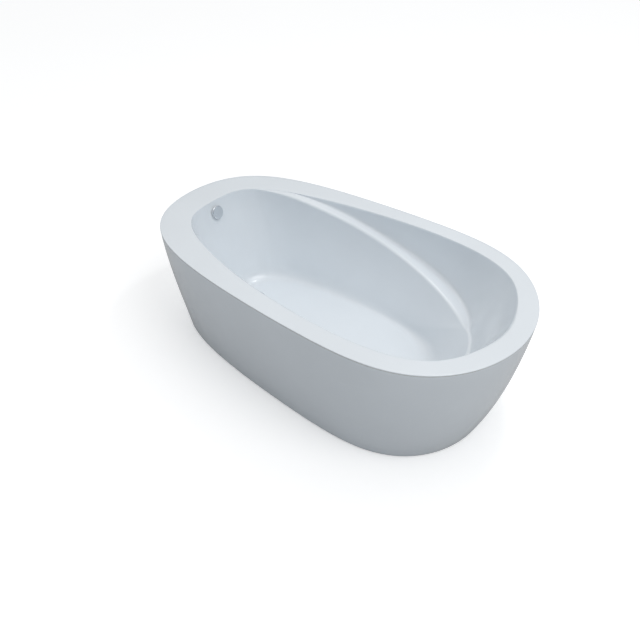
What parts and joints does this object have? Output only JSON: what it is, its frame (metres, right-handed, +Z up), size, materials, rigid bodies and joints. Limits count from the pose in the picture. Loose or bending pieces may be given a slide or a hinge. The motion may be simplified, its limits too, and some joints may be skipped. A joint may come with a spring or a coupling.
{
  "type": "freestanding bathtub",
  "caption": "Freestanding egg-shaped bathtub with flat deck, sloping armrest ledge, tapered skirt, levelling frame and knob-operated pop-up waste.",
  "frame": {"origin": "on the floor, at the middle of the tub's overall length and width", "axes": "+X to the backrest end, -X to the overflow and drain end, +Y to the side away from the viewer, +Z up"},
  "size_m": [1.7, 0.942, 0.544],
  "materials": {
    "white_acrylic": "gloss white moulded acrylic",
    "chrome": "polished chrome plate",
    "black_rubber": "moulded rubber",
    "cable_sleeve": "extruded black sleeve",
    "plywood": "bare birch plywood",
    "frame_paint": "dark powder coat on steel tube",
    "zinc_steel": "bright zinc plated steel",
    "grey_plastic": "moulded grey polypropylene"
  },
  "bodies": {
    "root": {"basin_shell": "white_acrylic", "bracket_bolt_1": "zinc_steel", "bracket_bolt_2": "zinc_steel", "bracket_bolt_3": "zinc_steel", "bracket_bolt_4": "zinc_steel", "bracket_screw_1": "zinc_steel", "bracket_screw_2": "zinc_steel", "bracket_screw_3": "zinc_steel", "bracket_screw_4": "zinc_steel", "cross_rail_backrest_end": "frame_paint", "cross_rail_drain_end": "frame_paint", "cross_rail_middle": "frame_paint", "drain_cable": "cable_sleeve", "drain_flange": "chrome", "drain_gasket": "black_rubber", "floor_board": "plywood", "foot_lock_nut_1": "zinc_steel", "foot_lock_nut_2": "zinc_steel", "foot_lock_nut_3": "zinc_steel", "foot_lock_nut_4": "zinc_steel", "foot_lock_nut_5": "zinc_steel", "foot_weld_nut_1": "frame_paint", "foot_weld_nut_2": "frame_paint", "foot_weld_nut_3": "frame_paint", "foot_weld_nut_4": "frame_paint", "foot_weld_nut_5": "frame_paint", "frame_rail_far": "frame_paint", "frame_rail_near": "frame_paint", "hose_nut_end": "grey_plastic", "hose_nut_top": "grey_plastic", "overflow_body": "grey_plastic", "overflow_flange": "chrome", "overflow_gasket": "black_rubber", "overflow_hose": "grey_plastic", "skirt_bracket_1": "zinc_steel", "skirt_bracket_2": "zinc_steel", "skirt_bracket_3": "zinc_steel", "skirt_bracket_4": "zinc_steel", "skirt_shell": "white_acrylic", "waste_body": "grey_plastic", "waste_outlet_nut": "grey_plastic"},
    "knob": {"overflow_knob": "chrome", "knob_spindle": "zinc_steel", "knob_cam": "grey_plastic"},
    "stopper": {"stopper_cap": "chrome", "stopper_seal": "black_rubber", "stopper_stem": "zinc_steel", "stopper_lift_pin": "zinc_steel"},
    "foot_1": {"foot_pad_1": "grey_plastic", "foot_stud_1": "zinc_steel"},
    "foot_2": {"foot_pad_2": "grey_plastic", "foot_stud_2": "zinc_steel"},
    "foot_3": {"foot_pad_3": "grey_plastic", "foot_stud_3": "zinc_steel"},
    "foot_4": {"foot_pad_4": "grey_plastic", "foot_stud_4": "zinc_steel"},
    "foot_5": {"foot_pad_5": "grey_plastic", "foot_stud_5": "zinc_steel"}
  },
  "joints": [
    {"name": "knob_turn", "type": "hinge", "parent": "root", "child": "knob", "pos_m": [-0.6848, 0, 0.49], "axis": [0.9626, 0, 0.271], "range_deg": [0, 90]},
    {"name": "stopper_lift", "type": "slide", "parent": "root", "child": "stopper", "axis": [0, 0, 1], "range_m": [0, 0.012]},
    {"name": "foot_1_level", "type": "slide", "parent": "root", "child": "foot_1", "axis": [0, 0, -1], "range_m": [0, 0.02]},
    {"name": "foot_2_level", "type": "slide", "parent": "root", "child": "foot_2", "axis": [0, 0, -1], "range_m": [0, 0.02]},
    {"name": "foot_3_level", "type": "slide", "parent": "root", "child": "foot_3", "axis": [0, 0, -1], "range_m": [0, 0.02]},
    {"name": "foot_4_level", "type": "slide", "parent": "root", "child": "foot_4", "axis": [0, 0, -1], "range_m": [0, 0.02]},
    {"name": "foot_5_level", "type": "slide", "parent": "root", "child": "foot_5", "axis": [0, 0, -1], "range_m": [0, 0.02]}
  ],
  "couplings": [
    {"joint": "stopper_lift", "follows": "knob_turn", "m_per_rad": 0.0076}
  ]
}
